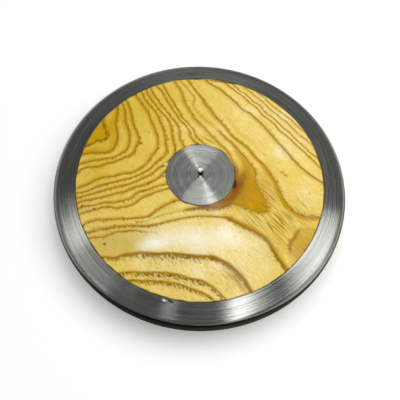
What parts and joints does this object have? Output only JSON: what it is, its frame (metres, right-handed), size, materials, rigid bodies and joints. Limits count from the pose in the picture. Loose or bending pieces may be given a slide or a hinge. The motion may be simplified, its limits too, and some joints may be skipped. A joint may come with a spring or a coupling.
{
  "type": "discus",
  "caption": "Throwing discus: crowned varnished wood sides in a round-edged steel rim, with a steel centre plate and a cross-recessed screw on each face.",
  "frame": {"origin": "centre of the discus, on its spin axis and its middle plane", "axes": "+Z along the spin axis, out of the upper centre plate; +X to the right in the picture and +Y away from its viewer"},
  "size_m": [0.22, 0.22, 0.045],
  "materials": {
    "rim_steel": "turned steel with fine grooves that run round it, semi-bright",
    "plate_steel": "turned steel with concentric tool marks, bright",
    "screw_steel": "zinc-plated steel, its head turned off level with the plate",
    "inner_steel": "plain mild steel, hidden inside",
    "varnished_wood": "flat-sawn pale hardwood with golden-brown growth lines under clear gloss varnish"
  },
  "bodies": {
    "root": {"rim": "rim_steel", "upper_side": "varnished_wood", "lower_side": "varnished_wood", "upper_centre_plate": "plate_steel", "lower_centre_plate": "plate_steel", "upper_centre_screw": "screw_steel", "lower_centre_screw": "screw_steel", "centre_sleeve": "inner_steel", "upper_trim_washer_1": "inner_steel", "upper_trim_washer_2": "inner_steel", "lower_trim_washer_1": "inner_steel", "lower_trim_washer_2": "inner_steel", "rim_key_pin_1": "inner_steel", "rim_key_pin_2": "inner_steel", "rim_key_pin_3": "inner_steel", "rim_key_pin_4": "inner_steel", "rim_key_pin_5": "inner_steel", "rim_key_pin_6": "inner_steel"}
  },
  "joints": []
}
